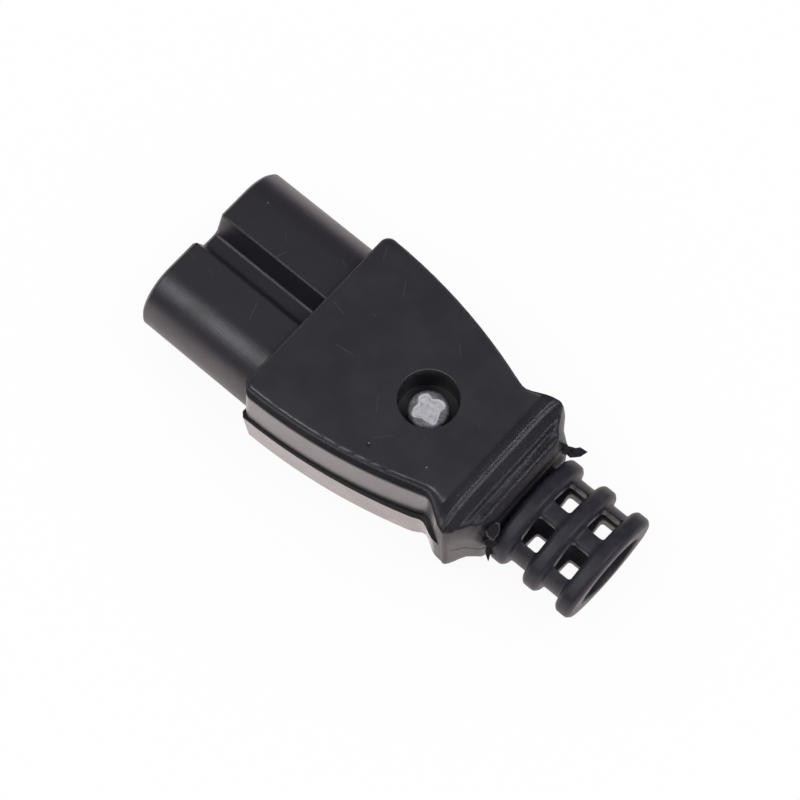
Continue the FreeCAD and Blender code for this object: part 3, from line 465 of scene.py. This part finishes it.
housingScrew = {  # lengths in mm, crossTurn in degrees
    "axis": (-2.25, 0.0, 0.0), "seat": 6.4, "tip": 1.6, "shankRadius": 0.95,
    "headRadius": 1.58, "headHeight": 1.1, "domeRadius": 0.3,
    "domeSteps": 5, "topSteps": 24, "turnSteps": 72, "merge": 0.002, "sharpFrom": 0.6,
    "crossMean": 1.0, "crossSwing": 0.2, "crossArms": 4, "crossTurn": 60.0,
    "crossDepth": 0.3, "crossWall": 0.14, "ragged": 0.04, "raggedCount": 9,
    # the worn brightness paints light: rimPaintedShade keeps the head dark as painted shade,
    # edgePaintedHighlight paints highlights along the cross edges
    "rimPaintedShade": 0.1, "floorShine": 0.55, "edgePaintedHighlight": 1.2, "edgeWidth": 0.13,
}


def screwOutline(look, top):  # radius and level, from the tip of the shank to the middle of the head
    rim = look["headRadius"]
    dome = look["domeRadius"]
    shank = look["shankRadius"]
    outline = [(0, look["tip"]), (shank, look["tip"]), (shank, look["seat"])]
    outline += [(rim, look["seat"]), (rim, top - dome)]
    for step in range(look["domeSteps"]):
        turn = math.pi / 2 * (step + 1) / look["domeSteps"]
        outline.append((rim - dome + dome * math.cos(turn), top - dome + dome * math.sin(turn)))
    for step in range(look["topSteps"]):
        outline.append(((rim - dome) * (1 - (step + 1) / look["topSteps"]), top))
    return outline


def sinkCross(shape, look, top, topMargin=0.01):  # worn cross recess, and how bright each spot is: painted shade on the head and painted highlights along the cross edges
    worn = shape.verts.layers.float.new("worn")
    for vert in shape.verts:
        vert[worn] = look["rimPaintedShade"]
        if vert.co.z > (top - topMargin) * millimetre:
            reach = vert.co.xy.length / millimetre
            turn = math.atan2(vert.co.y, vert.co.x) - math.radians(look["crossTurn"])
            edge = look["crossMean"] + look["crossSwing"] * math.cos(look["crossArms"] * turn)
            edge += look["ragged"] * math.sin(look["raggedCount"] * turn)
            sunk = min(max((edge - reach) / look["crossWall"], 0), 1)
            onEdge = max(1 - abs(edge - reach) / look["edgeWidth"], 0)
            vert.co.z -= sunk * look["crossDepth"] * millimetre
            vert[worn] += sunk * (look["floorShine"] - look["rimPaintedShade"])
            vert[worn] += onEdge * (look["edgePaintedHighlight"] - vert[worn])


def makeHousingScrew(look):  # turned head and shank
    shape = bmesh.new()
    top = look["seat"] + look["headHeight"]
    outline = screwOutline(look, top)
    spots = [shape.verts.new((radius * millimetre, 0, level * millimetre)) for radius, level in outline]
    edges = [shape.edges.new(pair) for pair in zip(spots, spots[1:])]
    bmesh.ops.spin(shape, geom=spots + edges, axis=(0, 0, 1), cent=(0, 0, 0),
                   steps=look["turnSteps"], angle=math.tau, use_merge=True)
    bmesh.ops.remove_doubles(shape, verts=shape.verts, dist=look["merge"] * millimetre)
    sinkCross(shape, look, top)
    bmesh.ops.recalc_face_normals(shape, faces=shape.faces[:])
    bmesh.ops.translate(shape, verts=shape.verts, vec=Vector(look["axis"]) * millimetre)
    shadeSmooth(shape, look["sharpFrom"])
    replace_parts(addPiece("housingScrew", shape, steelFinish), "housing_screw")


makeHousingScrew(housingScrew)
print("screw made")


viewpoint = {  # mm and degrees, with clipStart in metres
    "target": (-0.717, 1.458, 9.5), "azimuth": 221.11, "elevation": 68.25, "distance": 196.25,
    "lens": 120.1, "sensor": 36, "clipStart": 0.01,
}


def facingBasis(look):  # right, up and back of a plane that faces the viewpoint
    turn = math.radians(look["azimuth"])
    lift = math.radians(look["elevation"])
    back = Vector((math.sin(turn) * math.cos(lift), -math.cos(turn) * math.cos(lift), math.sin(lift)))
    right = Vector((math.cos(turn), math.sin(turn), 0))
    return right, back.cross(right), back


def facingMatrix(look, place):  # turns a flat shape to the viewpoint and puts it at a place in mm
    turned = Matrix(facingBasis(look)).transposed().to_4x4()
    turned.translation = Vector(place) * millimetre
    return turned


flashTags = {  # ragged moulding flash where the shells close round the boot, reach to each corner in mm
    "farShard": {
        "centre": (-12.5, -4.85, 6.6), "thickness": 0.15,
        "reach": (0.9, 0.5, 0.3, 0.6, 0.85, 0.6, 0.4, 0.5)},
    "farFringe": {
        "centre": (-11.9, -4.4, 7.1), "thickness": 0.15,
        "reach": (0.5, 0.3, 0.4, 0.45, 0.55, 0.4, 0.45, 0.3)},
    "nearLeaf": {
        "centre": (-12.0, 4.05, 7.3), "thickness": 0.12, "pale": True,
        "reach": (0.5, 0.7, 0.7, 0.6, 0.6, 0.65, 0.75, 0.5)},
    "nearLeafFace": {
        "centre": (-12.05, 4.1, 7.5), "thickness": 0.12,
        "reach": (0.42, 0.58, 0.54, 0.45, 0.45, 0.5, 0.64, 0.4)},
    "nearCurl": {
        "centre": (-12.4, 4.65, 6.3), "thickness": 0.35,
        "reach": (0.45, 0.4, 0.25, 0.3, 0.5, 0.4, 0.25, 0.3)},
    "nearStrand": {
        "centre": (-12.4, 4.95, 4.95), "thickness": 0.35,
        "reach": (0.2, 0.35, 0.65, 0.3, 0.2, 0.25, 0.65, 0.2)},
}


def addFlash(name, look):
    corners = len(look["reach"])
    shape = bmesh.new()
    bmesh.ops.create_circle(shape, cap_ends=True, segments=corners, radius=millimetre)
    for vert in shape.verts:
        turn = math.atan2(vert.co.y, vert.co.x) % math.tau
        vert.co *= look["reach"][round(turn / math.tau * corners) % corners]
    bmesh.ops.solidify(shape, geom=shape.faces[:], thickness=look["thickness"] * millimetre)
    bmesh.ops.recalc_face_normals(shape, faces=shape.faces[:])
    bmesh.ops.transform(shape, verts=shape.verts, matrix=facingMatrix(viewpoint, look["centre"]))
    finish = paleFinish if look.get("pale") else flashFinish
    addPiece("flash." + name, shape, finish)


for name, look in flashTags.items():
    addFlash(name, look)
print("flash added")


studio = {
    "white": (1, 1, 1, 1), "floorSize": 3.0, "floorColour": (0.93, 0.92, 0.915, 1), "floorGlow": 0.93,
    "floorSheen": (1.0, 0.89, 0.88, 1), "domeAmbient": 0.8, "domeHorizon": 0.9, "domeZenith": 0.105,
    "fallFrom": -0.05, "fallTo": 0.14, "zenithTint": (0.88, 0.83, 1.0, 1),
}


def makeFloor(look):  # nearly white to the camera and in gloss, so that the shadow stays
    finish = bpy.data.materials.new("paleFloor")
    finish.use_nodes = True
    tree = finish.node_tree
    base = Signal(tree)
    path = base.node("LightPath", out="Is Camera Ray")
    glossy = path.sibling("Is Glossy Ray")
    seen = (path + glossy + path.sibling("Is Transmission Ray")).least(1.0)
    paper = base.node("BsdfDiffuse", None, {"Color": look["floorColour"]})
    glow = glossy.tint(look["white"], look["floorSheen"])
    white = base.node("Emission", None, {"Color": glow, "Strength": 1.0})
    mixed = base.node("MixShader", None, {0: seen * look["floorGlow"], 1: paper, 2: white})
    base.plug(tree.nodes["Material Output"].inputs["Surface"], mixed)
    shape = bmesh.new()
    bmesh.ops.create_grid(shape, x_segments=1, y_segments=1, size=look["floorSize"] / 2)
    addObject("floor", shape, finish)


def makeDome(look):  # gloss sees it bright low down and dim overhead
    world = bpy.data.worlds.new("studioDome")
    scene.world = world
    world.use_nodes = True
    background = world.node_tree.nodes["Background"].inputs
    base = Signal(world.node_tree)
    rise = base.node("SeparateXYZ", None, {0: base.node("TexCoord", out="Generated")}).sibling("Z")
    overhead = rise.ramp(look["fallFrom"], look["fallTo"])
    ceiling = look["domeHorizon"] + (look["domeZenith"] - look["domeHorizon"]) * overhead
    path = base.node("LightPath", out="Is Camera Ray")
    direct = (path + path.sibling("Is Transmission Ray")).least(1.0)
    glossy = path.sibling("Is Glossy Ray")
    strength = direct + (1 - direct) * (glossy * ceiling + (1 - glossy) * look["domeAmbient"])
    base.plug(background["Strength"], strength)
    base.plug(background["Color"], (glossy * overhead).tint(look["white"], look["zenithTint"]))


lamps = {  # distance and size in metres
    "keyPanel": {
        "direction": (0.24, 0.39, 0.885), "distance": 0.6, "size": 0.3, "power": 0.55,
        "colour": (0.97, 0.96, 1.0)},
    "rearPanel": {
        "direction": (-0.42, -0.27, 0.865), "distance": 0.6, "size": 0.12, "power": 0.5,
        "colour": (0.86, 0.89, 1.0)},
}


def addLamp(name, look):  # soft square panel aimed at the connector
    lamp = bpy.data.lights.new(name, "AREA")
    lamp.shape = "SQUARE"
    lamp.size = look["size"]
    lamp.energy = look["power"]
    lamp.color = look["colour"]
    direction = Vector(look["direction"])
    holder = bpy.data.objects.new(name, lamp)
    holder.location = direction.normalized() * look["distance"]
    holder.rotation_euler = direction.to_track_quat("Z", "Y").to_euler()
    scene.collection.objects.link(holder)


makeFloor(studio)
makeDome(studio)
for name, look in lamps.items():
    addLamp(name, look)
print("studio lit")


def makeCamera(look):
    lens = bpy.data.cameras.new("productCamera")
    lens.sensor_width = look["sensor"]
    lens.lens = look["lens"]
    lens.clip_start = look["clipStart"]
    back = facingBasis(look)[2]
    camera = bpy.data.objects.new("productCamera", lens)
    camera.matrix_world = facingMatrix(look, Vector(look["target"]) + back * look["distance"])
    scene.collection.objects.link(camera)
    scene.camera = camera


makeCamera(viewpoint)
scene.view_settings.view_transform = "Standard"
print("camera set")
